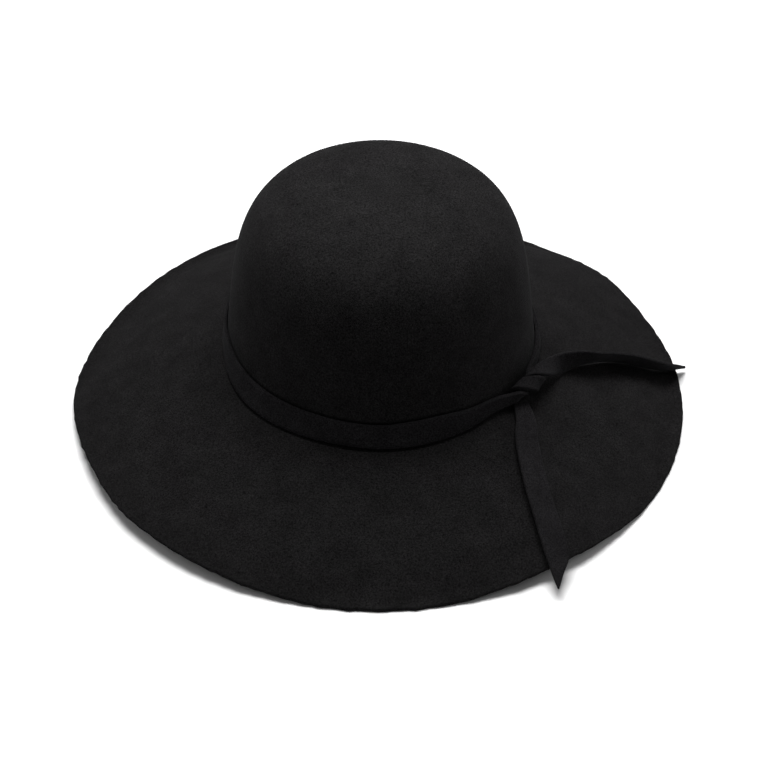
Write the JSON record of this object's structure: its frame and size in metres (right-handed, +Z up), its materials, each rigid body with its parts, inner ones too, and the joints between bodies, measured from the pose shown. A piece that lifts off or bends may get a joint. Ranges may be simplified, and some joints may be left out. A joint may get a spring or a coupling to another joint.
{
  "type": "wide brim felt hat",
  "caption": "Wide-brim felt hat with a tall rounded crown, a soft sloping brim and a felt strip tied at one side",
  "frame": {"origin": "middle of the object's bounding box, on the surface its brim rests on", "axes": "+Z up through the crown, -Y the front of the hat, +X the wearer's left, where the strip is tied"},
  "size_m": [0.3626, 0.368, 0.1422],
  "materials": {
    "body_felt": "matt black pressed wool felt with a short nap",
    "strip_felt": "matt black cut felt strip"
  },
  "bodies": {
    "root": {"crown_and_brim": "body_felt", "tie_band": "strip_felt"}
  },
  "joints": []
}
